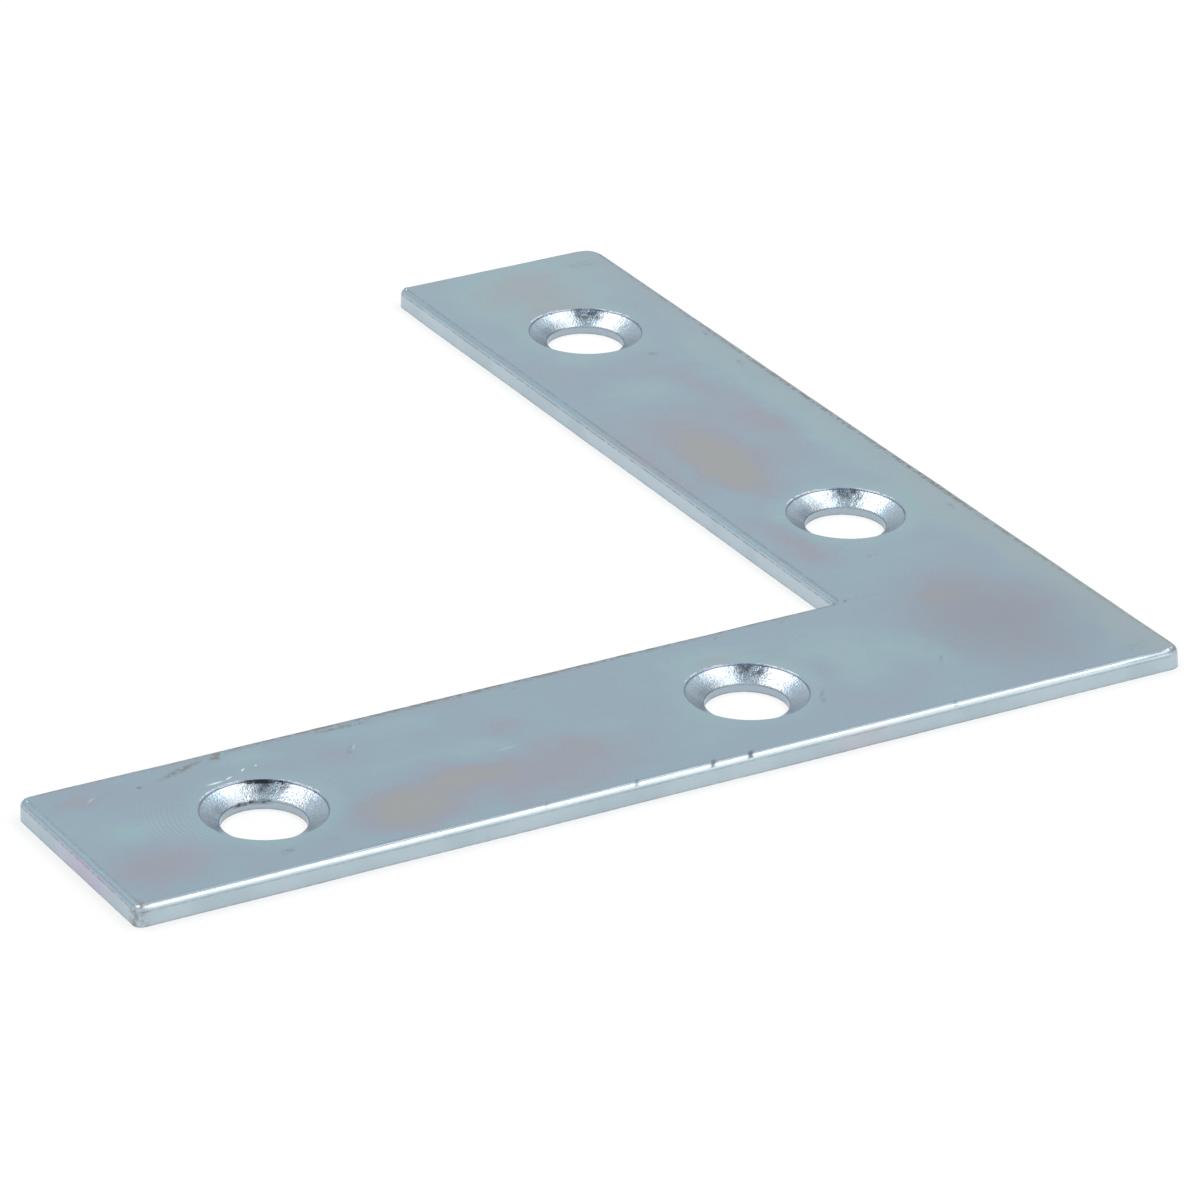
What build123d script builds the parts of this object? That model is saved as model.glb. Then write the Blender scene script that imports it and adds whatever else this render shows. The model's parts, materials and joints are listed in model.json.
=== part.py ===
from build123d import *
from math import radians, tan
import os

# Flat corner brace: one L-shaped blank of zinc-plated steel strip, with a row of
# countersunk screw holes along each arm. Millimetres, +Z up. The brace lies on its
# underside at Z = 0, and the origin is the centre of the square that it spans. The
# outer corner is at +X -Y: the x arm runs from it towards -X, the y arm towards +Y.

# Blank
arm_length = 100.0
arm_width = 21.8
thickness = 1.85

# Corners of the blank, seen from above
outer_corner_radius = 1.2
inner_corner_radius = 0.4
end_inner_radius = 1.2
x_end_outer_radius = 0.8
y_end_outer_radius = 2.2

# The blanking die rounds the edge that it enters by and leaves the lower edge sharp
edge_roll = 0.55

# Screw hole, from the underside up: a straight land, the countersink, and a short
# straight lip with a broken edge, where the coining punch stopped
land_radius = 3.6
sink_radius = 5.25
sink_angle = 120.0
lip_depth = 0.12
lip_break = 0.08

# Hole rows: two holes in each arm, about its centre line
corner_to_hole = 37.2
hole_to_end = 17.0
row_shift_x = -0.25
row_shift_y = -0.55

# Places worked out from the sizes
right = arm_length / 2
left = -right
front = -right
back = right
outer_corner = (right, front)
inner_corner = (right - arm_width, front + arm_width)
hole_pitch = arm_length - corner_to_hole - hole_to_end
sink_depth = (sink_radius - land_radius) / tan(radians(sink_angle / 2))
land_height = thickness - lip_depth - sink_depth
x_row_centre = (
    right - corner_to_hole - hole_pitch / 2 + row_shift_x,
    front + arm_width / 2 + row_shift_y,
)
y_row_centre = (
    right - arm_width / 2 + row_shift_x,
    front + corner_to_hole + hole_pitch / 2 + row_shift_y,
)


with BuildPart() as corner_brace:
    # L-shaped blank
    with BuildSketch() as outline:
        with BuildLine():
            Polyline(
                outer_corner,
                (right, back),
                (right - arm_width, back),
                inner_corner,
                (left, front + arm_width),
                (left, front),
                close=True,
            )
        make_face()
        fillet(outline.vertices().sort_by_distance((left, front))[0], x_end_outer_radius)
        fillet(outline.vertices().sort_by_distance((left, front + arm_width))[0], end_inner_radius)
        fillet(outline.vertices().sort_by_distance((right - arm_width, back))[0], end_inner_radius)
        fillet(outline.vertices().sort_by_distance((right, back))[0], y_end_outer_radius)
        fillet(outline.vertices().sort_by_distance(outer_corner)[0], outer_corner_radius)
        fillet(outline.vertices().sort_by_distance(inner_corner)[0], inner_corner_radius)
    extrude(amount=thickness)

    # Rolled upper edge, all the way round
    top_face = corner_brace.faces().sort_by(Axis.Z)[-1]
    fillet(top_face.outer_wire().edges(), edge_roll)

    # Countersunk holes, a row of two in each arm
    x_row = GridLocations(hole_pitch, 0, 2, 1)
    y_row = GridLocations(0, hole_pitch, 1, 2)
    for row_centre, row in ((x_row_centre, x_row), (y_row_centre, y_row)):
        x_centre, y_centre = row_centre
        with Locations((x_centre, y_centre, thickness)):
            with Locations(*row.locations):
                Hole(sink_radius, depth=lip_depth)
        with Locations((x_centre, y_centre, thickness - lip_depth)):
            with Locations(*row.locations):
                CounterSinkHole(land_radius, sink_radius, counter_sink_angle=sink_angle)

    # Broken edge round each countersink
    top_face = corner_brace.faces().sort_by(Axis.Z)[-1]
    fillet(top_face.inner_wires().edges(), lip_break)

corner_brace.part.label = "corner_brace"

os.makedirs("parts", exist_ok=True)
export_step(corner_brace.part, "parts/corner_brace.step")
print(f"hole pitch {hole_pitch:.2f}, land height {land_height:.3f}, sink depth {sink_depth:.3f}")
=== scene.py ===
"""Flat corner brace: a stamped and zinc-plated L plate with four countersunk screw holes."""

import json
from math import cos, pi, radians, sin, tan

import bmesh
import bpy
from bpy.props import FloatProperty, FloatVectorProperty, PointerProperty
from mathutils import Matrix, Vector


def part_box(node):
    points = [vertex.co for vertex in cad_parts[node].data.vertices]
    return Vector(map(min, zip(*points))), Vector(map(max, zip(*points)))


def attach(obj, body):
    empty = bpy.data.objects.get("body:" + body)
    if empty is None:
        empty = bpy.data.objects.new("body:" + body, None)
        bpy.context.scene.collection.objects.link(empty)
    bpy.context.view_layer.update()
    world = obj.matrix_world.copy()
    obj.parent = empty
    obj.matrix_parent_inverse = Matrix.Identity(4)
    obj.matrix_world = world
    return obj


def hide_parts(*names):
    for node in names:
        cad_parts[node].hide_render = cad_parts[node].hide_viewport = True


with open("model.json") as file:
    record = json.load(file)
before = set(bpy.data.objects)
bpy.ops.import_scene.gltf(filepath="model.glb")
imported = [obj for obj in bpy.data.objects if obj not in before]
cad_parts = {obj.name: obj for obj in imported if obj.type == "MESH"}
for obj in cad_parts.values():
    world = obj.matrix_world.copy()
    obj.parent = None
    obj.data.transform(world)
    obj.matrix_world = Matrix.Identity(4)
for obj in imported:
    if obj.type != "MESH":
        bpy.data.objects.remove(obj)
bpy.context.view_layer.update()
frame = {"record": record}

bl_info = {
    "name": "Flat corner brace",
    "version": (1, 0, 0),
    "blender": (4, 5, 0),
    "location": "View3D > Sidebar > Brace",
    "description": "Models a zinc-plated flat corner brace and its studio stage",
    "category": "Add Mesh",
}

MM = 0.001
NODE = "corner_brace"
LOW, HIGH = (Vector(corner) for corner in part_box(NODE))
BORES = {
    mount["name"]: mount
    for mount in frame["record"]["mounts"]
    if mount["kind"] == "bore"
}
LAND_RADIUS = next(iter(BORES.values()))["dims"]["r_mm"] * MM


# Settings


class BracePlateSizes(bpy.types.PropertyGroup):
    """Sizes of the stamped plate that the frame's box and holes don't give"""

    arm_width: FloatProperty(
        name="Arm width",
        description="Width of each arm",
        default=21.8 * MM,
        min=14.0 * MM,
        unit="LENGTH",
    )
    outer_radius: FloatProperty(
        name="Outer corner radius",
        description="Radius of the outer corner, seen from above",
        default=1.2 * MM,
        min=0.1 * MM,
        unit="LENGTH",
    )
    drawn_radius: FloatProperty(
        name="Drawn corner radius",
        description="Radius of the outer corner's upper edge, which the die draws in",
        default=1.6 * MM,
        min=0.1 * MM,
        unit="LENGTH",
    )
    inner_radius: FloatProperty(
        name="Inner corner radius",
        description="Radius of the inside corner, seen from above",
        default=0.4 * MM,
        min=0.1 * MM,
        unit="LENGTH",
    )
    end_inner_radius: FloatProperty(
        name="Inner end corner radius",
        description="Radius of the end corners on the inner side of both arms",
        default=1.2 * MM,
        min=0.1 * MM,
        unit="LENGTH",
    )
    x_end_outer_radius: FloatProperty(
        name="X arm outer end corner radius",
        description="Radius of the sharper end corner, at the front of the x arm",
        default=0.8 * MM,
        min=0.1 * MM,
        unit="LENGTH",
    )
    y_end_outer_radius: FloatProperty(
        name="Y arm outer end corner radius",
        description="Radius of the rounder end corner, at the back of the y arm",
        default=2.2 * MM,
        min=0.1 * MM,
        unit="LENGTH",
    )
    edge_roll: FloatProperty(
        name="Edge roll",
        description="Radius of the upper edge, where the blanking die entered",
        default=0.55 * MM,
        min=0.05 * MM,
        unit="LENGTH",
    )
    pull_width: FloatProperty(
        name="Pulled width",
        description="Width of the band inside the roll where the face is pulled down",
        default=0.2 * MM,
        min=0.05 * MM,
        unit="LENGTH",
    )
    pull_depth: FloatProperty(
        name="Pull depth",
        description="How far the roll lies below the face",
        default=0.03 * MM,
        min=0.0,
        unit="LENGTH",
    )
    wall_waviness: FloatProperty(
        name="Wall waviness",
        description="Depth of the long waves in the walls",
        default=0.08 * MM,
        min=0.0,
        unit="LENGTH",
    )
    roll_waviness: FloatProperty(
        name="Roll waviness",
        description="Depth of the short waves in the rolled edge",
        default=0.025 * MM,
        min=0.0,
        unit="LENGTH",
    )
    sink_radius: FloatProperty(
        name="Countersink radius",
        description="Radius of the countersink under its lip",
        default=5.25 * MM,
        min=4.0 * MM,
        unit="LENGTH",
    )
    sink_angle: FloatProperty(
        name="Countersink angle",
        description="Full angle of the countersink's cone",
        default=radians(120.0),
        min=radians(60.0),
        max=radians(140.0),
        subtype="ANGLE",
    )
    lip_depth: FloatProperty(
        name="Lip depth",
        description="Height of the straight lip above the cone",
        default=0.12 * MM,
        min=0.02 * MM,
        unit="LENGTH",
    )
    land_round: FloatProperty(
        name="Land round",
        description="Radius of the step between the land and the cone",
        default=0.2 * MM,
        min=0.02 * MM,
        unit="LENGTH",
    )
    lip_break: FloatProperty(
        name="Lip break",
        description="Radius of the lip's upper edge",
        default=0.12 * MM,
        min=0.01 * MM,
        unit="LENGTH",
    )


class BraceZincFinish(bpy.types.PropertyGroup):
    """Colours and gloss of the zinc plate and its passivation film"""

    straw: FloatVectorProperty(
        name="Straw film",
        description="Colour where the film is thinnest",
        default=(0.322, 0.342, 0.350),
        min=0.0,
        max=1.0,
        subtype="COLOR",
    )
    mauve: FloatVectorProperty(
        name="Mauve film",
        description="Colour where the film is thin",
        default=(0.303, 0.335, 0.398),
        min=0.0,
        max=1.0,
        subtype="COLOR",
    )
    blue: FloatVectorProperty(
        name="Blue film",
        description="Colour of most of the plate",
        default=(0.278, 0.380, 0.452),
        min=0.0,
        max=1.0,
        subtype="COLOR",
    )
    teal: FloatVectorProperty(
        name="Teal film",
        description="Colour where the film is thick",
        default=(0.293, 0.421, 0.468),
        min=0.0,
        max=1.0,
        subtype="COLOR",
    )
    olive: FloatVectorProperty(
        name="Olive film",
        description="Colour where the film is thickest",
        default=(0.322, 0.374, 0.408),
        min=0.0,
        max=1.0,
        subtype="COLOR",
    )
    worn: FloatVectorProperty(
        name="Worn edges",
        description="Colour of the face along the outer side of the y arm",
        default=(0.325, 0.397, 0.420),
        min=0.0,
        max=1.0,
        subtype="COLOR",
    )
    sheared: FloatVectorProperty(
        name="Sheared walls",
        description="Colour of the walls that the blanking die sheared",
        default=(0.490, 0.586, 0.642),
        min=0.0,
        max=1.0,
        subtype="COLOR",
    )
    lilac: FloatVectorProperty(
        name="Lilac walls",
        description="Colour of the film's patch on the end of the x arm",
        default=(0.545, 0.512, 0.645),
        min=0.0,
        max=1.0,
        subtype="COLOR",
    )
    pink: FloatVectorProperty(
        name="Pink walls",
        description="Colour of the film's patch on the front wall",
        default=(0.512, 0.545, 0.592),
        min=0.0,
        max=1.0,
        subtype="COLOR",
    )
    coined: FloatVectorProperty(
        name="Coined cones",
        description="Colour of the coined countersinks",
        default=(0.343, 0.430, 0.492),
        min=0.0,
        max=1.0,
        subtype="COLOR",
    )
    # Painted highlight: the lighter colour of the cones' two lit lobes and of the front roll, where the
    # lamps reflect
    painted_highlight: FloatVectorProperty(
        name="Burnished metal",
        description="Colour of the cones and the front roll where they were rubbed",
        default=(0.410, 0.458, 0.490),
        min=0.0,
        max=1.0,
        subtype="COLOR",
    )
    # Used both for a dull patch of the face and for painted shade on the rolled edge at the outer corner
    dull_and_shade: FloatVectorProperty(
        name="Dull outer corner",
        description="Colour that the bloom and the rolled edge darken to at the outer corner",
        default=(0.20, 0.24, 0.28),
        min=0.0,
        max=1.0,
        subtype="COLOR",
    )
    land: FloatVectorProperty(
        name="Lands",
        description="Colour of the holes' straight lands",
        default=(0.395, 0.475, 0.540),
        min=0.0,
        max=1.0,
        subtype="COLOR",
    )
    # Also the colour of the painted contact shade along the walls' bottom and of the painted dark
    # reflections in thin lines along the walls and the rolls
    dirt_and_shade: FloatVectorProperty(
        name="Handling marks",
        description="Colour of the scuffs and the dirt in them",
        default=(0.19, 0.18, 0.165),
        min=0.0,
        max=1.0,
        subtype="COLOR",
    )
    # Painted shade: the near-black of the painted dark reflections and shade in the holes and of the breaks
    # in the front roll's highlight
    painted_dark: FloatVectorProperty(
        name="Soot",
        description="Colour of the darkest dirt, in the holes and in the front roll",
        default=(0.012, 0.012, 0.016),
        min=0.0,
        max=1.0,
        subtype="COLOR",
    )
    tarnish: FloatVectorProperty(
        name="Tarnish",
        description="Colour of the film under the lips and on the cones",
        default=(0.12, 0.15, 0.28),
        min=0.0,
        max=1.0,
        subtype="COLOR",
    )
    # Bare metal for the scratches and fine arcs, and also a painted highlight on the burrs round the rims
    bright: FloatVectorProperty(
        name="Bare metal",
        description="Colour of the fresh scratches, the burrs and the fine arcs",
        default=(0.88, 0.93, 0.96),
        min=0.0,
        max=1.0,
        subtype="COLOR",
    )
    roughness: FloatProperty(
        name="Roughness",
        description="Roughness of the plated face",
        default=0.25,
        min=0.0,
        max=1.0,
        subtype="FACTOR",
    )


class BraceStageSettings(bpy.types.PropertyGroup):
    """The camera, the lamps and the floor"""

    azimuth: FloatProperty(
        name="Azimuth",
        description="Turn of the camera's view from +Y towards +X",
        default=radians(30.924),
        subtype="ANGLE",
    )
    elevation: FloatProperty(
        name="Elevation",
        description="Angle at which the camera looks down",
        default=radians(25.612),
        subtype="ANGLE",
    )
    roll: FloatProperty(
        name="Roll",
        description="Turn of the camera about its own view",
        default=radians(1.344),
        subtype="ANGLE",
    )
    distance: FloatProperty(
        name="Distance",
        description="Distance from the camera to its aim point",
        default=601.05 * MM,
        unit="LENGTH",
    )
    aim: FloatVectorProperty(
        name="Aim",
        description="Point in the middle of the picture",
        default=(15.32 * MM, -10.62 * MM, -2.58 * MM),
        subtype="TRANSLATION",
        unit="LENGTH",
    )
    focal_length: FloatProperty(
        name="Focal length",
        description="Focal length of the lens, in millimetres on a 36 mm sensor",
        default=205.72,
    )
    room_light: FloatProperty(
        name="Room light",
        description="Strength of the even light from all round",
        default=0.66,
        min=0.0,
    )
    long_power: FloatProperty(
        name="Long softbox power",
        description="Power of the long softbox over the right side",
        default=2.25,
        min=0.0,
        unit="POWER",
    )
    round_power: FloatProperty(
        name="Round softbox power",
        description="Power of the round softbox over the back",
        default=1.6,
        min=0.0,
        unit="POWER",
    )
    front_power: FloatProperty(
        name="Front softbox power",
        description="Power of the low softbox in front",
        default=0.3,
        min=0.0,
        unit="POWER",
    )


# Shader nodes


class Signal:
    """A number that varies over a surface. Arithmetic on it adds Math nodes."""

    def __init__(self, nodes, socket):
        self.nodes = nodes
        self.socket = socket

    def __add__(self, other):
        return self.nodes.math("ADD", self, other)

    def __sub__(self, other):
        return self.nodes.math("SUBTRACT", self, other)

    def __rsub__(self, other):
        return self.nodes.math("SUBTRACT", other, self)

    def __mul__(self, other):
        return self.nodes.math("MULTIPLY", self, other)

    __radd__ = __add__
    __rmul__ = __mul__


class NodeTree:
    """The node tree of a material or a world, filled from nothing."""

    def __init__(self, owner):
        owner.use_nodes = True
        self.tree = owner.node_tree
        self.tree.nodes.clear()

    def node(self, kind, settings=None, inputs=None, output=0):
        """Adds a node: its settings first, then its sockets' values or links."""
        new = self.tree.nodes.new(kind)
        for name, value in (settings or {}).items():
            if name == "stops":
                stops = new.color_ramp.elements
                while len(stops) < len(value):
                    stops.new(1.0)
                for stop, (place, colour) in zip(stops, value):
                    stop.position = place
                    stop.color = (*colour, 1.0)
            else:
                setattr(new, name, value)
        for name, value in (inputs or {}).items():
            socket = new.inputs[name]
            if isinstance(value, Signal):
                self.tree.links.new(value.socket, socket)
            else:
                socket.default_value = value
        return Signal(self, new.outputs[output]) if len(new.outputs) else new

    def math(self, operation, *values):
        """A Math node on numbers."""
        return self.node("ShaderNodeMath", {"operation": operation}, dict(enumerate(values)))

    def smoothstep(self, value, start, end):
        """0 before start and 1 after end, or the other way where end is less."""
        return self.node(
            "ShaderNodeMapRange",
            {"interpolation_type": "SMOOTHSTEP"},
            {"Value": value, "From Min": start, "From Max": end},
        )

    def mix(self, factor, first, second):
        """Colour first where factor is 0 and second where it is 1."""
        first, second = (
            colour if isinstance(colour, Signal) else (*colour, 1.0) for colour in (first, second)
        )
        return self.node(
            "ShaderNodeMix",
            {"data_type": "RGBA"},
            {0: factor, 6: first, 7: second},
            output=2,
        )

    def noise(self, vector, size, detail=2.0, output=0):
        """Noise between 0 and 1 with features about as large as size. Output 1 is a colour."""
        return self.node(
            "ShaderNodeTexNoise",
            inputs={"Vector": vector, "Scale": 1.0 / size, "Detail": detail},
            output=output,
        )

    def vector(self, operation, *values, output=0):
        """A Vector Math node. Its output 1 is a number, such as a length."""
        return self.node(
            "ShaderNodeVectorMath",
            {"operation": operation},
            dict(enumerate(values)),
            output=output,
        )

    def patch(self, vector, x, y, half_length, half_width, turn):
        """A soft oval seen from above: 1 in its middle and 0 at its border."""
        local = self.node(
            "ShaderNodeMapping",
            {"vector_type": "TEXTURE"},
            {
                "Vector": vector,
                "Location": (x * MM, y * MM, 0.0),
                "Rotation": (0.0, 0.0, radians(turn)),
                "Scale": (half_length * MM, half_width * MM, 1.0),
            },
        )
        return self.smoothstep(self.vector("LENGTH", local, output=1), 1.0, 0.0)

    def patches(self, vector, table):
        """The sum of the table's ovals, each times the last number in its row."""
        total = 0.0
        for *oval, amount in table:
            total = self.patch(vector, *oval) * amount + total
        return total


# Mesh helpers


def deselect_all():
    """Deselects every object."""
    for thing in bpy.context.selected_objects:
        thing.select_set(False)


def edit(thing):
    """Opens a mesh in edit mode with nothing selected."""
    deselect_all()
    thing.select_set(True)
    bpy.context.view_layer.objects.active = thing
    bpy.ops.object.mode_set(mode="EDIT")
    bpy.ops.mesh.select_all(action="DESELECT")


def choose(thing, mode, test):
    """Selects the faces, edges or verts of the mesh in edit mode that pass the test."""
    bpy.ops.mesh.select_all(action="DESELECT")
    bpy.ops.mesh.select_mode(type={"faces": "FACE", "edges": "EDGE", "verts": "VERT"}[mode])
    mesh = bmesh.from_edit_mesh(thing.data)
    count = 0
    for element in getattr(mesh, mode):
        if test(element):
            element.select_set(True)
            count += 1
    if not count:
        raise RuntimeError(f"nothing to select among the {mode} of {thing.name}")
    mesh.select_flush_mode()
    bmesh.update_edit_mesh(thing.data)


def close(a, b, gap=0.002 * MM):
    """Whether two lengths are the same but for rounding."""
    return abs(a - b) < gap


def apply_modifier(thing, kind, settings):
    """Adds a modifier with these settings and applies it."""
    deselect_all()
    thing.select_set(True)
    bpy.context.view_layer.objects.active = thing
    modifier = thing.modifiers.new(kind.title(), kind)
    for name, value in settings.items():
        setattr(modifier, name, value)
    bpy.ops.object.modifier_apply(modifier=modifier.name)


# The plate

# Segments in each corner, in the roll, round each hole and in its profile's rounds
CORNER_SEGMENTS = 10
ROLL_SEGMENTS = 8
HOLE_SEGMENTS = 128
LIP_SEGMENTS = 4

# The long edges are divided twice by this many cuts, where they are longer than this
EDGE_CUTS = 13
FINE_EDGE = 1.0 * MM

# Vertices this far beyond the roll's border still belong to it
SLACK = 0.02 * MM

# Lengths of the waves in the walls and in the roll
WALL_WAVE = 9.0 * MM
ROLL_WAVE = 1.6 * MM

# The cutters stand out of the plate by this much
CLEAR = 1.0 * MM

# Each nick's x and depth in millimetres and its turn in degrees
NICKS = (
    (-12.7, 0.03, 10.0),
    (-4.3, 0.07, 10.0),
    (3.4, 0.06, -12.0),
    (6.7, 0.10, -10.0),
    (26.6, 0.03, -8.0),
)
NICK_RADIUS = 0.2 * MM


def stamp_blank(sizes):
    """The L-shaped blank with its rounded corners and rolled upper edge."""
    plate = cut_blank(sizes.arm_width)
    round_corners(plate, sizes)
    divide_edges(plate)
    draw_corner(plate, sizes.drawn_radius)
    roll_edge(plate, sizes)
    bpy.ops.object.mode_set(mode="OBJECT")
    make_uneven(plate, "edges", "NORMAL", WALL_WAVE, sizes.wall_waviness)
    make_uneven(plate, "rolled", "Z", ROLL_WAVE, sizes.roll_waviness)
    return plate


def cut_blank(width):
    """The L with sharp corners, left in edit mode."""
    length = HIGH.x - LOW.x
    thickness = HIGH.z - LOW.z
    deselect_all()
    bpy.ops.mesh.primitive_cube_add(
        size=1.0,
        location=(HIGH.x - width / 2, LOW.y + width / 2, LOW.z + thickness / 2),
        scale=(width, width, thickness),
    )
    plate = bpy.context.object
    plate.name = "brace_plate"
    bpy.ops.object.transform_apply(location=True, rotation=True, scale=True)

    edit(plate)
    choose(plate, "faces", lambda face: face.normal.x < -0.9)
    bpy.ops.mesh.extrude_region_move(TRANSFORM_OT_translate={"value": (width - length, 0, 0)})
    choose(plate, "faces", lambda face: face.normal.y > 0.9 and face.calc_center_median().x > HIGH.x - width)
    bpy.ops.mesh.extrude_region_move(TRANSFORM_OT_translate={"value": (0, length - width, 0)})
    bpy.ops.mesh.select_all(action="SELECT")
    bpy.ops.mesh.dissolve_limited(angle_limit=radians(1.0))
    return plate


def round_corners(plate, sizes):
    """Rounds the six upright edges, each by its own radius."""
    inner_x = HIGH.x - sizes.arm_width
    inner_y = LOW.y + sizes.arm_width
    corners = (
        (HIGH.x, LOW.y, sizes.outer_radius),
        (inner_x, inner_y, sizes.inner_radius),
        (LOW.x, inner_y, sizes.end_inner_radius),
        (LOW.x, LOW.y, sizes.x_end_outer_radius),
        (HIGH.x, HIGH.y, sizes.y_end_outer_radius),
        (inner_x, HIGH.y, sizes.end_inner_radius),
    )
    for x, y, radius in corners:
        choose(
            plate,
            "edges",
            lambda edge: all(close(vert.co.x, x) and close(vert.co.y, y) for vert in edge.verts),
        )
        bpy.ops.mesh.bevel(offset=radius, segments=CORNER_SEGMENTS, profile=0.5, affect="EDGES")


def divide_edges(plate):
    """Divides the long level edges finely, so that the roll and the walls can be uneven."""
    for _ in range(2):
        choose(
            plate,
            "edges",
            lambda edge: edge.calc_length() > FINE_EDGE and close(edge.verts[0].co.z, edge.verts[1].co.z),
        )
        bpy.ops.mesh.subdivide(number_cuts=EDGE_CUTS)


def draw_corner(plate, radius):
    """Draws the outer corner in along its upper edge, where the die rounds it most."""
    mesh = bmesh.from_edit_mesh(plate.data)
    centre = Vector((HIGH.x - radius, LOW.y + radius, HIGH.z))
    for vert in mesh.verts:
        out = vert.co - centre
        if close(out.z, 0.0) and out.x > 0 and out.y < 0:
            vert.co = centre + out.normalized() * radius
    bmesh.update_edit_mesh(plate.data)


def roll_edge(plate, sizes):
    """Rolls the upper edge over, with the face pulled down a little just inside the roll."""
    width = sizes.arm_width
    choose(plate, "edges", lambda edge: all(close(vert.co.z, HIGH.z) for vert in edge.verts))
    bpy.ops.mesh.bevel(
        offset=sizes.edge_roll,
        segments=ROLL_SEGMENTS,
        profile=0.5,
        affect="EDGES",
        clamp_overlap=False,
    )
    choose(plate, "faces", lambda face: face.normal.z > 0.99 and face.calc_area() > width * width)
    bpy.ops.mesh.inset(thickness=sizes.pull_width)

    roll_width = sizes.edge_roll + SLACK
    roll_start = HIGH.z - sizes.edge_roll - SLACK
    choose(
        plate,
        "verts",
        lambda vert: vert.co.z > roll_start and inside(vert.co, width) < roll_width,
    )
    bpy.ops.transform.translate(value=(0, 0, -sizes.pull_depth))
    add_group(plate, "rolled")
    choose(plate, "verts", lambda vert: inside(vert.co, width) < roll_width)
    add_group(plate, "edges")


def inside(place, width):
    """How far a place lies inside the outline of an L of this width."""
    to_inner = Vector((max(place.x - HIGH.x + width, 0.0), max(LOW.y + width - place.y, 0.0)))
    return min(
        place.x - LOW.x, HIGH.x - place.x, place.y - LOW.y, HIGH.y - place.y, to_inner.length
    )


def add_group(plate, name):
    """Makes a vertex group of the chosen vertices."""
    bpy.ops.object.vertex_group_add()
    plate.vertex_groups.active.name = name
    bpy.ops.object.vertex_group_assign()


def make_uneven(plate, group, direction, size, depth):
    """Presses a vertex group inwards by a cloudy pattern, nowhere beyond its old place."""
    clouds = bpy.data.textures.new(group, "CLOUDS")
    clouds.noise_scale = size
    apply_modifier(
        plate,
        "DISPLACE",
        {
            "texture": clouds,
            "texture_coords": "LOCAL",
            "vertex_group": group,
            "direction": direction,
            "strength": depth,
            "mid_level": 1.0,
        },
    )


def punch_profile(sizes):
    """The punch's outline from the land up, as pairs of radius and height."""
    thickness = HIGH.z - LOW.z
    sink_depth = (sizes.sink_radius - LAND_RADIUS) / tan(sizes.sink_angle / 2)
    sink_top = thickness - sizes.lip_depth
    round_start = sink_top - sink_depth - sizes.land_round * tan(sizes.sink_angle / 4)
    profile = []
    for step in range(LIP_SEGMENTS + 1):
        angle = sizes.sink_angle / 2 * step / LIP_SEGMENTS
        profile.append(
            (
                LAND_RADIUS + sizes.land_round * (1 - cos(angle)),
                round_start + sizes.land_round * sin(angle),
            )
        )
    profile.append((sizes.sink_radius, sink_top))
    for step in range(1, LIP_SEGMENTS + 1):
        angle = pi / 2 * step / LIP_SEGMENTS
        profile.append(
            (
                sizes.sink_radius + sizes.lip_break * (1 - cos(angle)),
                thickness - sizes.lip_break * (1 - sin(angle)),
            )
        )
    profile.append((sizes.sink_radius + sizes.lip_break, thickness + CLEAR))
    return profile


def turn_punch(sizes, x, y):
    """The countersinking punch at one hole, as a solid to cut with."""
    radius, height = LAND_RADIUS, -CLEAR
    deselect_all()
    bpy.ops.mesh.primitive_circle_add(
        vertices=HOLE_SEGMENTS,
        radius=radius,
        fill_type="NGON",
        location=(x, y, LOW.z + height),
    )
    punch = bpy.context.object
    bpy.ops.object.transform_apply(location=True, rotation=True, scale=True)
    edit(punch)
    bpy.ops.mesh.select_all(action="SELECT")
    for next_radius, next_height in punch_profile(sizes):
        bpy.ops.mesh.extrude_region_move(
            TRANSFORM_OT_translate={"value": (0, 0, next_height - height)}
        )
        if not close(next_radius, radius, 1e-9):
            growth = next_radius / radius
            bpy.ops.transform.resize(
                value=(growth, growth, 1.0),
                center_override=(x, y, LOW.z + next_height),
            )
        radius, height = next_radius, next_height
    bpy.ops.mesh.select_all(action="SELECT")
    bpy.ops.mesh.normals_make_consistent(inside=False)
    bpy.ops.object.mode_set(mode="OBJECT")
    return punch


def cut_away(plate, cutter):
    """Cuts one solid out of the plate and deletes it."""
    apply_modifier(
        plate,
        "BOOLEAN",
        {"operation": "DIFFERENCE", "solver": "EXACT", "object": cutter},
    )
    bpy.data.objects.remove(cutter)


def punch_holes(plate, sizes):
    """Cuts the four countersunk holes."""
    for mount in BORES.values():
        x, y, _ = mount["pos_m"]
        cut_away(plate, turn_punch(sizes, x, y))


def nick_edge(plate, sizes):
    """Small nicks across the rolled front edge."""
    out = Vector((0.0, -1.0, 1.0)).normalized()
    roll_gap = sizes.edge_roll * (2.0**0.5 - 1.0)
    for x, depth, turn in NICKS:
        deselect_all()
        bpy.ops.mesh.primitive_cylinder_add(
            vertices=24,
            radius=NICK_RADIUS,
            depth=2.0 * MM,
            location=(x * MM, LOW.y, HIGH.z),
            rotation=(-pi / 4, 0.0, radians(turn)),
        )
        cutter = bpy.context.object
        cutter.location -= out * (roll_gap + depth * MM - NICK_RADIUS)
        cut_away(plate, cutter)


def merge_doubles(plate):
    """Joins the vertices that the cuts leave in the same place."""
    edit(plate)
    bpy.ops.mesh.select_all(action="SELECT")
    bpy.ops.mesh.remove_doubles(threshold=0.0005 * MM)
    bpy.ops.object.mode_set(mode="OBJECT")


# Finish

# Sizes of the noises that the finish is made of
SPECKLE_SIZE = 0.18 * MM
BREAK_SIZE = 0.5 * MM
MOTTLE_SIZE = 0.8 * MM
WANDER_SIZE = 2.5 * MM
DRIFT_SIZE = 6.0 * MM

# The bloom's ovals are warped by up to half of this
WARP = 3.0 * MM

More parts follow.
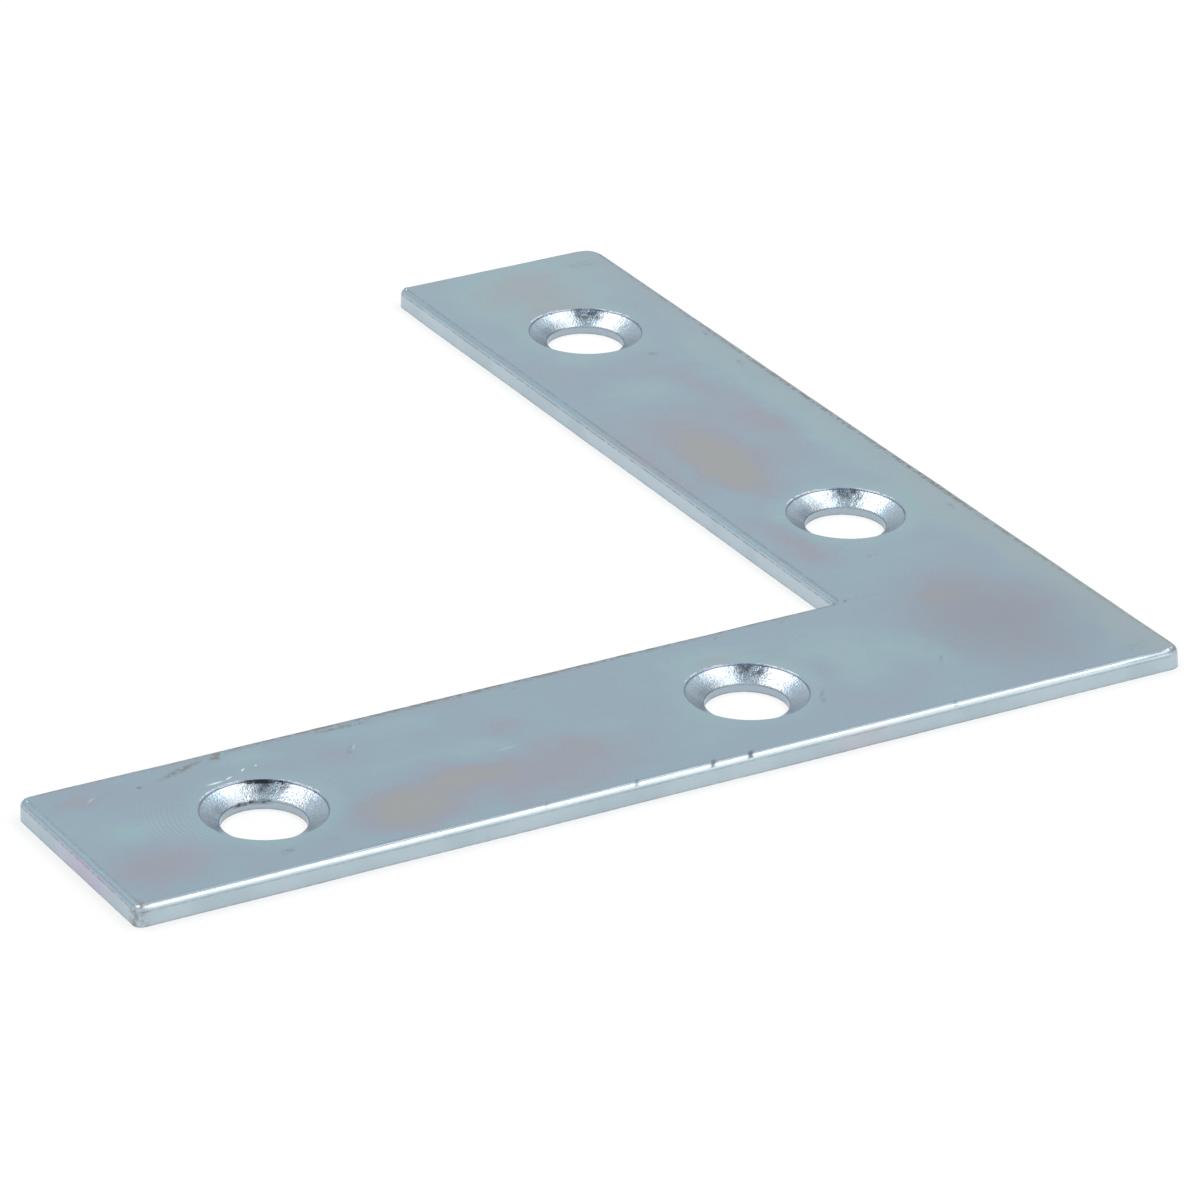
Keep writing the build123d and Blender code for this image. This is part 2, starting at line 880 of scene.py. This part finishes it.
# Frequencies of the cones' streaks, round the hole by direction and down it by metre
STREAKS_ROUND = 17.0
STREAKS_DOWN = 0.7 / MM

# Pitch of the fine arcs beside the x arm's outer hole
ARC_PITCH = 0.42 * MM

# Depth of the relief where its height is 1
RELIEF_DEPTH = 0.02 * MM

# What lies nearer than this to a hole's axis belongs to that hole
HOLE_REACH = 10.0 * MM

# Half the width of the soft border round the countersinks
RIM_SOFTNESS = 0.03 * MM

# Heights, radii about a hole's axis, and places in x and y. Each pair is where a part or
# a mark starts and where it is full.
LAND_HEIGHTS = (0.75 * MM, 0.65 * MM)
WALL_HEIGHTS = (HIGH.z - 0.18 * MM, HIGH.z - 0.36 * MM)
ROLL_HEIGHTS = (HIGH.z - 0.02 * MM, HIGH.z - 0.12 * MM)
STEP_FOOT_HEIGHTS = (0.42 * MM, 0.6 * MM)
STEP_TOP_HEIGHTS = (0.92 * MM, 0.8 * MM)
# Painted contact shade along the bottom of the walls
BASE_SHADE_HEIGHTS = (0.22 * MM, 0.0)
HALO_RADII = (7.8 * MM, 5.6 * MM)
# Painted dark reflection in the cones
DARK_REFLECTION_RADII = (4.0 * MM, 4.6 * MM)
SHADE_RADII = (4.9 * MM, 3.9 * MM)
WORN_X = (HIGH.x - 5.2 * MM, HIGH.x - 2.0 * MM)
WORN_Y = (10.0 * MM, -30.0 * MM)
# Painted highlight on the front roll
ROLL_HIGHLIGHT_Y = (LOW.y + 1.2 * MM, LOW.y + 0.6 * MM)
OFF_FRONT_Y = (LOW.y + 0.7 * MM, LOW.y + 1.4 * MM)

# Marks round the holes. Each has the angle of its middle from +X, and how far from there
# it starts and is full, in degrees.
LEFT_TARNISH = (172.0, 40.0, 0.0)
# Painted highlights in the cones, where the lamps reflect
BACK_HIGHLIGHT = (90.0, 24.0, 10.0)
RIGHT_HIGHLIGHT = (25.0, 25.0, 12.0)
# Painted dark reflection between the highlights
DARK_REFLECTION = (55.0, 22.0, 9.0)
SHADE = (112.0, 36.0, 15.0)
# Painted dark reflections under the lip and on the step, with light gaps in the first
LIP_DARK_REFLECTION = (60.0, 28.0, 12.0)
LIP_SHADE_GAPS = (45.0, 14.0, 7.0)
STEP_DARK_REFLECTION = (80.0, 32.0, 10.0)
# Painted highlights on the burr round the rims
BACK_BURR_HIGHLIGHT = (108.0, 30.0, 18.0)
RIGHT_BURR_HIGHLIGHT = (28.0, 26.0, 15.0)

# Ovals on the top face. Each row has its middle's x and y and its two half sizes in
# millimetres, its turn in degrees and its amount. In BLOOM the amount is how much the
# passivation film is thicker or thinner there.
BLOOM = (
    (-22.5, -45.2, 7.5, 5.6, 0.0, -0.62),
    (-16.0, -42.2, 7.5, 3.6, -4.0, -0.5),
    (-10.0, -45.0, 13.0, 6.0, 0.0, -0.2),
    (-4.8, -41.8, 7.0, 3.6, -12.0, -0.24),
    (-9.0, -35.7, 3.0, 2.2, 0.0, -0.22),
    (-46.5, -31.8, 3.8, 1.6, 10.0, -0.2),
    (-45.5, -45.0, 7.5, 6.0, 20.0, -0.27),
    (-44.5, -38.0, 4.5, 3.0, 15.0, 0.24),
    (-30.0, -31.0, 4.5, 2.2, 0.0, 0.2),
    (-17.0, -31.3, 10.0, 2.0, -5.0, 0.14),
    (-15.0, -37.8, 12.0, 1.8, 0.0, 0.1),
    (-23.3, -34.0, 2.8, 2.4, 0.0, -0.16),
    (13.0, -33.0, 7.0, 3.0, 0.0, 0.22),
    (23.5, -38.0, 7.5, 8.0, 0.0, 0.26),
    (20.5, -38.5, 3.0, 3.4, 30.0, -0.3),
    (30.0, -40.0, 4.0, 7.0, 20.0, 0.3),
    (38.5, -37.0, 10.5, 13.5, 0.0, -0.28),
    (38.0, -31.0, 3.4, 4.0, 0.0, -0.1),
    (36.5, -31.3, 2.8, 1.8, -20.0, -0.2),
    (46.5, 5.0, 3.6, 40.0, 0.0, 0.3),
    (31.8, -17.0, 2.9, 9.0, 8.0, -0.32),
    (34.2, 0.0, 3.6, 8.4, 4.0, -0.42),
    (34.8, 3.0, 5.2, 14.0, 3.0, -0.38),
    (43.8, 7.0, 3.2, 6.0, 0.0, -0.24),
    (29.2, 3.0, 1.8, 10.0, 0.0, -0.18),
    (36.0, 18.0, 6.5, 5.0, 0.0, 0.22),
    (42.3, 16.0, 3.2, 6.5, 20.0, -0.2),
    (38.0, 8.0, 9.0, 19.0, 0.0, -0.14),
    (38.8, -13.3, 8.2, 8.2, 0.0, 0.24),
    (39.0, 43.0, 12.0, 12.0, 0.0, 0.5),
    (34.5, 27.0, 3.4, 2.2, -20.0, 0.2),
)

# Scuffs and dirt, and two thin dark lines along rolls, in the same columns
MARKS = (
    (-36.0, -30.3, 3.6, 0.6, 20.0, 0.85),
    (-32.4, -29.6, 1.5, 0.8, 30.0, 0.85),
    (-20.8, -29.6, 3.6, 0.4, -2.0, 0.9),
    (-4.4, -29.9, 0.45, 0.45, 0.0, 1.0),
    (-40.4, -31.5, 0.4, 0.35, 0.0, 0.9),
    (-22.0, -33.6, 1.8, 0.5, 52.0, 0.4),
    (22.3, -32.5, 0.3, 0.35, 0.0, 0.9),
    (17.7, -43.4, 1.9, 0.4, 58.0, 0.6),
    (-35.0, -47.0, 1.5, 0.6, 20.0, 0.5),
    (-31.0, -46.8, 1.2, 0.5, 0.0, 0.35),
    (29.4, -28.4, 0.8, 0.45, 48.0, 0.9),
    (30.5, -41.9, 0.9, 0.3, 58.0, 0.5),
    (15.5, -29.6, 0.5, 0.2, 50.0, 0.7),
    (22.0, -29.8, 0.6, 0.2, 50.0, 0.6),
    (-18.4, -41.3, 0.3, 0.3, 0.0, 0.6),
    (36.2, -21.9, 0.9, 0.6, 30.0, 0.35),
    (41.7, 25.0, 0.8, 0.6, 0.0, 0.4),
    (48.5, 26.5, 0.4, 1.2, -15.0, 0.6),
    (47.9, 19.5, 0.5, 1.2, -15.0, 0.45),
    (48.0, -16.5, 0.4, 1.2, 0.0, 0.55),
    (46.3, 46.5, 2.8, 1.6, 0.0, 0.22),
    (46.6, -47.7, 2.6, 1.3, 20.0, 0.15),
    # Painted dark reflection: a thin line along the x arm's inner roll
    (-10.0, -28.7, 50.0, 0.9, 0.0, 1.0),
    (-49.6, -49.4, 1.3, 1.3, 0.0, 0.6),
    # A thin dark line along the y arm's outer roll
    (49.25, 0.0, 0.5, 58.0, 0.0, 1.0),
    (40.95, -9.5, 0.45, 0.4, 0.0, 1.0),
)

# Painted shade that breaks the front roll's highlight where it is nicked and near the outer corner, in the
# same columns
HIGHLIGHT_BREAKS = (
    (3.1, -49.7, 0.35, 1.1, -40.0, 0.8),
    (6.7, -49.7, 0.38, 1.1, -40.0, 0.85),
    (-4.2, -49.7, 0.3, 0.9, -40.0, 0.6),
    (-12.7, -49.7, 0.3, 0.8, -40.0, 0.3),
    (26.9, -49.7, 0.32, 0.8, -30.0, 0.35),
    (45.5, -49.9, 3.0, 0.4, 0.0, 0.4),
)

# Where the face, the roll and the walls have a tint of their own, in the same columns
ARCS = ((-41.2, -39.5, 3.4, 7.0, 0.0, 0.06),)
DULL_CORNER = ((39.0, -38.0, 13.0, 16.0, 0.0, 0.34),)
# Painted shade that dims the roll's highlight at the outer corner
ROLL_END_SHADE = ((50.0, -50.0, 5.0, 4.0, 0.0, 1.0),)
LILAC_WALL = ((-50.0, -40.5, 3.0, 7.0, 0.0, 1.0),)
PINK_WALL = ((17.5, -50.0, 5.0, 2.0, 0.0, 1.0),)

# Fresh scratches, in the same columns
SCRATCHES = (
    (-34.6, -33.7, 1.1, 0.18, 5.0, 1.0),
    (-33.2, -33.4, 0.6, 0.14, 25.0, 1.0),
    (-31.5, -32.6, 0.45, 0.14, 40.0, 0.9),
    (-30.2, -32.4, 0.25, 0.16, 40.0, 0.6),
    (-44.9, -31.7, 0.8, 0.2, 30.0, 0.2),
    (-21.5, -33.2, 0.9, 0.2, 55.0, 0.2),
    (-10.5, -39.3, 1.6, 0.25, 5.0, 0.12),
    (36.1, -22.2, 0.5, 0.2, 20.0, 0.15),
)

# How strong each hole's painted dark reflections are, as wide ovals about it in the same columns
HOLE_SHADE = (
    (-33.3, -39.7, 40.0, 40.0, 0.0, 1.0),
    (38.8, -13.3, 9.0, 9.0, 0.0, -0.3),
)

# Painted dark reflections: thin brown lines along the walls and the roll. Each row has its distance below
# the face and its half width in millimetres, its amount, and whether it is the front's.
EDGE_SHADE_LINES = (
    (0.05, 0.05, 0.4, False),
    (0.45, 0.08, 0.55, False),
    (0.5, 0.07, 0.36, True),
)


def about_hole(tree, place):
    """The place seen from the axis of the hole near it, or else of the first hole, without height."""
    offset = None
    for mount in BORES.values():
        x, y, _ = mount["pos_m"]
        here = tree.vector("MULTIPLY", tree.vector("SUBTRACT", place, (x, y, 0.0)), (1.0, 1.0, 0.0))
        if offset is None:
            offset = here
            continue
        near = tree.math("LESS_THAN", tree.vector("LENGTH", here, output=1), HOLE_REACH)
        offset = tree.node(
            "ShaderNodeMix",
            {"data_type": "VECTOR"},
            {0: near, 4: offset, 5: here},
            output=1,
        )
    return offset


class PlateSurface:
    """Where a point lies on the plate, and the noises there, as signals for its finish."""

    def __init__(self, tree, sizes):
        self.tree = tree
        self.sink_radius = sizes.sink_radius
        self.rim = sizes.sink_radius + sizes.lip_break
        self.place = tree.node("ShaderNodeTexCoord", output=3)
        self.x, self.y, self.z = (
            tree.node("ShaderNodeSeparateXYZ", inputs={0: self.place}, output=axis) for axis in range(3)
        )
        offset = about_hole(tree, self.place)
        self.radius = tree.vector("LENGTH", offset, output=1)
        self.direction = tree.vector("NORMALIZE", offset)
        self.make_noises()
        self.find_parts()

    def make_noises(self):
        """Noises from fine to coarse, and streaks that run down the cones."""
        tree = self.tree
        self.speckle = tree.noise(self.place, SPECKLE_SIZE)
        self.broken = tree.smoothstep(tree.noise(self.place, BREAK_SIZE, detail=3.0), 0.36, 0.6)
        self.mottle = tree.noise(self.place, MOTTLE_SIZE, detail=4.0)
        self.drift = tree.noise(self.place, DRIFT_SIZE)
        around = tree.vector("MULTIPLY", self.direction, (STREAKS_ROUND, STREAKS_ROUND, STREAKS_ROUND))
        down = tree.node("ShaderNodeCombineXYZ", inputs={2: self.radius * STREAKS_DOWN})
        self.streaks = tree.noise(tree.vector("ADD", around, down), 1.0, detail=4.0)

    def find_parts(self):
        """Masks of the hole, its land, its cone and its lip, and of the walls and the roll."""
        smoothstep = self.tree.smoothstep
        self.in_hole = smoothstep(self.radius, self.rim + RIM_SOFTNESS, self.rim - RIM_SOFTNESS)
        self.in_land = smoothstep(self.z, *LAND_HEIGHTS) * self.in_hole
        self.on_cone = self.in_hole - self.in_land
        self.in_lip = self.in_hole * smoothstep(
            self.radius, self.sink_radius - 0.08 * MM, self.sink_radius - 0.01 * MM
        )
        outside = 1 - self.in_hole
        self.on_wall = smoothstep(self.z, *WALL_HEIGHTS) * outside
        self.on_roll = smoothstep(self.z, *ROLL_HEIGHTS) * outside * (1 - self.on_wall)

    def lobe(self, angle, start, full, stray=None):
        """A mask round the holes: 1 within full degrees of an angle from +X, 0 beyond start."""
        towards = (cos(radians(angle)), sin(radians(angle)), 0.0)
        facing = self.tree.vector("DOT_PRODUCT", self.direction, towards, output=1)
        if stray is not None:
            facing = facing + stray
        return self.tree.smoothstep(facing, cos(radians(start)), cos(radians(full)))


def film_colour(tree, at, finish):
    """The passivation film on the face, straw where it is thin and olive where it is thick."""
    wander = tree.noise(at.place, WANDER_SIZE, detail=3.0, output=1)
    warp = tree.vector("MULTIPLY", tree.vector("SUBTRACT", wander, (0.5, 0.5, 0.5)), (WARP, WARP, 0.0))
    film = 0.5 + (at.drift - 0.5) * 0.42 + (at.mottle - 0.5) * 0.14
    film = film + tree.patches(tree.vector("ADD", at.place, warp), BLOOM)
    film = film + tree.smoothstep(at.radius, *HALO_RADII) * 0.16
    return tree.node(
        "ShaderNodeValToRGB",
        {
            "stops": (
                (0.0, finish.straw),
                (0.25, finish.mauve),
                (0.5, finish.blue),
                (0.75, finish.teal),
                (1.0, finish.olive),
            )
        },
        {"Fac": film},
    )


def face_colour(tree, at, finish):
    """The face and the roll: the film, where it is worn or dulled, with a painted highlight on the front
    roll and painted shade on it at the outer corner.
    """
    colour = film_colour(tree, at, finish)
    arcs = tree.smoothstep(tree.math("SINE", at.radius * (2.0 * pi / ARC_PITCH)), -0.2, 1.0)
    colour = tree.mix(tree.patches(at.place, ARCS) * arcs, colour, finish.bright)

    # Worn along the outer side of the y arm, most near the outer corner
    worn = tree.smoothstep(at.x + (at.drift - 0.5) * (4.0 * MM), *WORN_X)
    worn = worn * (0.3 + tree.smoothstep(at.y, *WORN_Y) * 0.36)
    colour = tree.mix(worn, colour, finish.worn)
    colour = tree.mix(tree.patches(at.place, DULL_CORNER), colour, finish.dull_and_shade)

    # Painted highlight: the front roll is lightened where the lamps reflect in it, and painted shade darkens
    # it at the outer corner
    roll_highlight = at.on_roll * tree.smoothstep(at.y, *ROLL_HIGHLIGHT_Y)
    colour = tree.mix(roll_highlight * 0.8, colour, finish.painted_highlight)
    roll_end_shade = tree.smoothstep(tree.patches(at.place, ROLL_END_SHADE), 0.0, 0.4)
    return tree.mix(at.on_roll * roll_end_shade * 0.75, colour, finish.dull_and_shade)


def wall_colour(tree, at, finish):
    """The sheared walls, with the film's patches on them."""
    colour = tree.mix(tree.patches(at.place, LILAC_WALL), finish.sheared, finish.lilac)
    colour = tree.mix(tree.patches(at.place, PINK_WALL), colour, finish.pink)
    return tree.mix(tree.smoothstep(at.drift, 0.42, 0.66) * 0.22, colour, finish.blue)


def cone_colour(tree, at, finish):
    """The coined cones, with painted highlights in two lobes, a painted dark reflection between them and
    painted shade low on the back.
    """
    colour = tree.mix(tree.smoothstep(at.streaks, 0.38, 0.62) * 0.25, finish.coined, finish.blue)
    colour = tree.mix(at.lobe(*LEFT_TARNISH) * 0.16, colour, finish.tarnish)
    # Painted highlights in two lobes of the cones
    colour = tree.mix(at.lobe(*BACK_HIGHLIGHT) + at.lobe(*RIGHT_HIGHLIGHT), colour, finish.painted_highlight)
    # Painted dark reflection between the lobes, patchy
    dark_reflection = at.lobe(*DARK_REFLECTION) * tree.smoothstep(at.radius, *DARK_REFLECTION_RADII)
    dark_reflection = dark_reflection * (0.12 + tree.smoothstep(at.mottle, 0.36, 0.62) * 0.62)
    colour = tree.mix(dark_reflection, colour, finish.painted_dark)
    shade = at.lobe(*SHADE) * tree.smoothstep(at.radius, *SHADE_RADII)
    colour = tree.mix(shade * 0.34, colour, finish.painted_dark)
    return tree.mix(tree.smoothstep(at.speckle, 0.5, 0.7) * 0.34, colour, finish.tarnish)


def darken_holes(tree, at, finish, colour):
    """Painted dark reflections under the lips on the far side and on the steps, most in the x arm's outer
    hole, and a band just under the lips darkened in the tarnish colour.
    """
    shade_strength = tree.patches(at.place, HOLE_SHADE)
    colour = tree.mix(at.in_lip * (at.mottle + 0.1) * 0.75, colour, finish.tarnish)

    # Painted dark reflection under the lip on the far side, broken by light flecks
    far_side = at.lobe(*LIP_DARK_REFLECTION, stray=(at.streaks - 0.5) * 0.12)
    lip_shade = at.in_hole * tree.smoothstep(
        at.radius + far_side * shade_strength * (0.2 * MM),
        at.sink_radius - 0.06 * MM,
        at.sink_radius + 0.04 * MM,
    )
    shade_gaps = at.lobe(*LIP_SHADE_GAPS) * tree.smoothstep(at.speckle, 0.46, 0.56)
    colour = tree.mix(lip_shade * far_side * shade_strength * (0.92 - shade_gaps * 0.8), colour, finish.painted_dark)

    # Painted dark reflection on the step between the land and the cone
    step = tree.smoothstep(at.z + (at.mottle - 0.5) * (0.2 * MM), *STEP_FOOT_HEIGHTS)
    step = step * tree.smoothstep(at.z, *STEP_TOP_HEIGHTS) * at.in_hole
    behind = at.lobe(*STEP_DARK_REFLECTION, stray=(at.speckle - 0.5) * 0.12)
    return tree.mix(step * behind * shade_strength * (0.25 + at.broken * 0.6), colour, finish.painted_dark)


def dirt_and_shade_mask(tree, at):
    """A mask of the scuffs and a faint dusting all over, with painted contact shade along the bottom of the
    walls and painted dark reflections in thin lines along the walls and the roll.
    """
    dirt_and_shade = tree.patches(at.place, MARKS) * at.broken + tree.smoothstep(at.speckle, 0.35, 0.75) * 0.04
    # Painted contact shade along the bottom of the walls, broken up
    dirt_and_shade = dirt_and_shade + tree.smoothstep(at.z, *BASE_SHADE_HEIGHTS) * (at.broken * 0.4 + 0.08)
    off_front = tree.smoothstep(at.y, *OFF_FRONT_Y) * (1 - at.in_hole)
    on_front = 1 - off_front - at.in_hole
    # Painted dark reflections as thin lines along the walls and the roll
    for below, half_width, amount, front in EDGE_SHADE_LINES:
        away = tree.math("ABSOLUTE", at.z - (HIGH.z - below * MM))
        line = tree.smoothstep(away, half_width * MM, 0.0) * (on_front if front else off_front)
        dirt_and_shade = dirt_and_shade + line * (0.2 + at.broken) * amount
    return tree.math("MINIMUM", dirt_and_shade, 0.9)


def scratches_and_burr_highlight(tree, at, finish, colour):
    """Fresh scratches, and a painted highlight on the burr round the rims where it catches the light."""
    # Painted highlight on the burr, only in the two lobes where the lamps reflect
    burr = tree.smoothstep(at.radius, at.rim - 0.02 * MM, at.rim + 0.03 * MM)
    burr = burr * tree.smoothstep(at.radius, at.rim + 0.2 * MM, at.rim + 0.08 * MM)
    lit = at.lobe(*BACK_BURR_HIGHLIGHT) + at.lobe(*RIGHT_BURR_HIGHLIGHT)
    colour = tree.mix(burr * lit * at.broken * 0.85, colour, finish.bright)
    scratched = tree.math("MINIMUM", tree.patches(at.place, SCRATCHES), 1.0)
    return tree.mix(scratched, colour, finish.bright)


def zinc_material(finish, sizes):
    """Zinc plate with its film, its coined cones, its wear and its dirt, and painted highlights, shade and
    dark reflections.
    """
    material = bpy.data.materials.new("zinc_plate")
    tree = NodeTree(material)
    at = PlateSurface(tree, sizes)
    colour = face_colour(tree, at, finish)
    colour = tree.mix(at.on_wall, colour, wall_colour(tree, at, finish))
    colour = tree.mix(at.in_hole, colour, cone_colour(tree, at, finish))
    colour = tree.mix(at.in_land, colour, finish.land)
    colour = darken_holes(tree, at, finish, colour)
    dirt_and_shade = dirt_and_shade_mask(tree, at)
    # Scuffs and dusting, with painted contact shade and painted dark reflections along the edges
    colour = tree.mix(dirt_and_shade, colour, finish.dirt_and_shade)
    # Painted shade breaking the front roll's highlight
    colour = tree.mix(tree.patches(at.place, HIGHLIGHT_BREAKS) * (1 - at.on_wall), colour, finish.painted_dark)
    colour = scratches_and_burr_highlight(tree, at, finish, colour)

    roughness = finish.roughness + (at.speckle - 0.5) * 0.08
    roughness = roughness + at.on_wall * 0.12 + dirt_and_shade * 0.2 + at.in_hole * 0.05
    relief = (at.speckle - 0.5) * (0.03 + at.on_cone * 1.7 + at.on_roll * 0.4)
    relief = relief + (at.mottle - 0.5) * at.on_cone * 1.8 + (at.streaks - 0.5) * at.on_cone * 0.9
    normal = tree.node(
        "ShaderNodeBump",
        inputs={"Height": relief, "Distance": RELIEF_DEPTH, "Strength": 1.0},
    )
    shader = tree.node(
        "ShaderNodeBsdfPrincipled",
        inputs={
            "Base Color": colour,
            "Metallic": 1.0,
            "Roughness": roughness,
            "Normal": normal,
        },
    )
    tree.node("ShaderNodeOutputMaterial", inputs={"Surface": shader})
    return material


class BRACE_OT_plate(bpy.types.Operator):
    """Stamp the plate, punch its four countersunk holes and zinc-plate it"""

    bl_idname = "brace.plate"
    bl_label = "Make the plate"
    bl_options = {"REGISTER", "UNDO"}

    def execute(self, context):
        sizes = context.scene.brace_sizes
        plate = stamp_blank(sizes)
        punch_holes(plate, sizes)
        nick_edge(plate, sizes)
        merge_doubles(plate)
        bpy.ops.object.shade_smooth_by_angle(angle=radians(30.0))
        apply_modifier(plate, "WEIGHTED_NORMAL", {"keep_sharp": True, "weight": 100})
        plate.data.materials.clear()
        plate.data.materials.append(zinc_material(context.scene.brace_finish, sizes))
        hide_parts(NODE)
        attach(plate, "root")
        return {"FINISHED"}


# The stage

# Each softbox's name, its direction from the brace and its two sizes in metres
SOFTBOXES = (
    ("long", (0.44, -0.13, 0.89), (0.84, 0.31)),
    ("round", (-0.17, 0.42, 0.89), (0.36, 0.36)),
    ("front", (0.463, -0.72, 0.52), (0.3, 0.31)),
)
LAMP_DISTANCE = 0.8
FLOOR_SIZE = 6.0

# How much of the floor's white is its own glow where it is seen directly
FLOOR_GLOW = 0.7


def place_camera(stage):
    """The camera at the photograph's angle, distance and focal length."""
    heading = (
        Matrix.Rotation(-stage.azimuth, 3, "Z")
        @ Matrix.Rotation(pi / 2 - stage.elevation, 3, "X")
        @ Matrix.Rotation(stage.roll, 3, "Z")
    )
    aim = Vector(stage.aim)
    deselect_all()
    bpy.ops.object.camera_add(
        location=aim + heading @ Vector((0, 0, stage.distance)),
        rotation=heading.to_euler(),
    )
    camera = bpy.context.object
    camera.name = "photo_camera"
    camera.data.lens = stage.focal_length
    camera.data.sensor_width = 36.0
    camera.data.clip_start = 0.01
    camera.data.clip_end = 20.0
    bpy.context.scene.camera = camera


def add_softbox(name, direction, size, power):
    """A lamp that faces the brace from a direction, round where its two sizes are one."""
    way = Vector(direction).normalized()
    deselect_all()
    bpy.ops.object.light_add(
        type="AREA",
        location=way * LAMP_DISTANCE,
        rotation=way.to_track_quat("Z", "Y").to_euler(),
    )
    lamp = bpy.context.object
    lamp.name = name
    lamp.data.shape = "RECTANGLE" if size[0] != size[1] else "DISK"
    lamp.data.size, lamp.data.size_y = size
    lamp.data.energy = power
    lamp.visible_camera = False


def hang_card(card, name, level):
    """Makes a mesh a grey card, which only reflections show."""
    card.name = name
    bpy.ops.object.transform_apply(location=True, rotation=True, scale=True)
    material = bpy.data.materials.new(name)
    tree = NodeTree(material)
    grey = tree.node(
        "ShaderNodeEmission", inputs={"Color": (level, level, level, 1.0), "Strength": 1.0}
    )
    tree.node("ShaderNodeOutputMaterial", inputs={"Surface": grey})
    card.data.materials.append(material)
    card.visible_camera = False
    card.visible_diffuse = False
    card.visible_shadow = False


def add_cards():
    """A dark card overhead and a pale ring round the horizon, for the metal to reflect."""
    deselect_all()
    bpy.ops.mesh.primitive_circle_add(
        vertices=48, radius=0.22, fill_type="NGON", location=(0.057, 0.095, 0.95)
    )
    hang_card(bpy.context.object, "overhead_card", level=0.05)
    deselect_all()
    bpy.ops.mesh.primitive_cylinder_add(
        vertices=96, radius=1.2, depth=0.32, end_fill_type="NOTHING", location=(0.0, 0.0, 0.16)
    )
    hang_card(bpy.context.object, "horizon_card", level=0.8)


def seen_directly(tree):
    """1 for rays that show the surface itself: camera, glossy and transmission rays."""
    flags = [tree.node("ShaderNodeLightPath", output=index) for index in (0, 3, 6)]
    return tree.math("MINIMUM", flags[0] + flags[1] + flags[2], 1.0)


def white_room(stage):
    """A white world, which lights the brace less than it shows."""
    world = bpy.data.worlds.new("white_room")
    bpy.context.scene.world = world
    tree = NodeTree(world)
    shown = seen_directly(tree)
    background = tree.node(
        "ShaderNodeBackground",
        inputs={"Color": (1.0, 1.0, 1.0, 1.0), "Strength": shown + (1 - shown) * stage.room_light},
    )
    tree.node("ShaderNodeOutputWorld", inputs={"Surface": background})


def floor_material():
    """White paper that keeps the brace's shadow."""
    material = bpy.data.materials.new("white_floor")
    tree = NodeTree(material)
    paper = tree.node("ShaderNodeBsdfDiffuse", inputs={"Color": (0.9, 0.9, 0.9, 1.0)})
    glow = tree.node("ShaderNodeEmission", inputs={"Color": (1.0, 1.0, 1.0, 1.0), "Strength": 1.0})
    surface = tree.node(
        "ShaderNodeMixShader",
        inputs={0: seen_directly(tree) * FLOOR_GLOW, 1: paper, 2: glow},
    )
    tree.node("ShaderNodeOutputMaterial", inputs={"Surface": surface})
    return material


class BRACE_OT_stage(bpy.types.Operator):
    """Place the camera, the lamps, the white room and the floor"""

    bl_idname = "brace.stage"
    bl_label = "Set the stage"
    bl_options = {"REGISTER", "UNDO"}

    def execute(self, context):
        stage = context.scene.brace_stage
        context.scene.view_settings.view_transform = "Standard"
        place_camera(stage)
        for name, direction, size in SOFTBOXES:
            add_softbox(f"{name}_softbox", direction, size, getattr(stage, f"{name}_power"))
        add_cards()
        white_room(stage)
        deselect_all()
        bpy.ops.mesh.primitive_plane_add(size=FLOOR_SIZE, location=(0.0, 0.0, LOW.z))
        floor = context.object
        floor.name = "floor"
        bpy.ops.object.transform_apply(location=True, rotation=True, scale=True)
        floor.data.materials.append(floor_material())
        return {"FINISHED"}


class BRACE_PT_sidebar(bpy.types.Panel):
    """Lists the brace's settings and the steps that make it"""

    bl_idname = "BRACE_PT_sidebar"
    bl_label = "Flat corner brace"
    bl_space_type = "VIEW_3D"
    bl_region_type = "UI"
    bl_category = "Brace"

    def draw(self, context):
        layout = self.layout
        for title, settings, operator in (
            ("Sizes", context.scene.brace_sizes, None),
            ("Finish", context.scene.brace_finish, BRACE_OT_plate),
            ("Stage", context.scene.brace_stage, BRACE_OT_stage),
        ):
            box = layout.box()
            box.label(text=title)
            for name in settings.__annotations__:
                box.prop(settings, name)
            if operator:
                box.operator(operator.bl_idname)


CLASSES = (
    BracePlateSizes,
    BraceZincFinish,
    BraceStageSettings,
    BRACE_OT_plate,
    BRACE_OT_stage,
    BRACE_PT_sidebar,
)


def register():
    for cls in CLASSES:
        bpy.utils.register_class(cls)
    bpy.types.Scene.brace_sizes = PointerProperty(type=BracePlateSizes)
    bpy.types.Scene.brace_finish = PointerProperty(type=BraceZincFinish)
    bpy.types.Scene.brace_stage = PointerProperty(type=BraceStageSettings)


def unregister():
    del bpy.types.Scene.brace_stage
    del bpy.types.Scene.brace_finish
    del bpy.types.Scene.brace_sizes
    for cls in reversed(CLASSES):
        bpy.utils.unregister_class(cls)


def main():
    register()
    bpy.ops.brace.stage()
    bpy.ops.brace.plate()


if __name__ == "__main__":
    main()
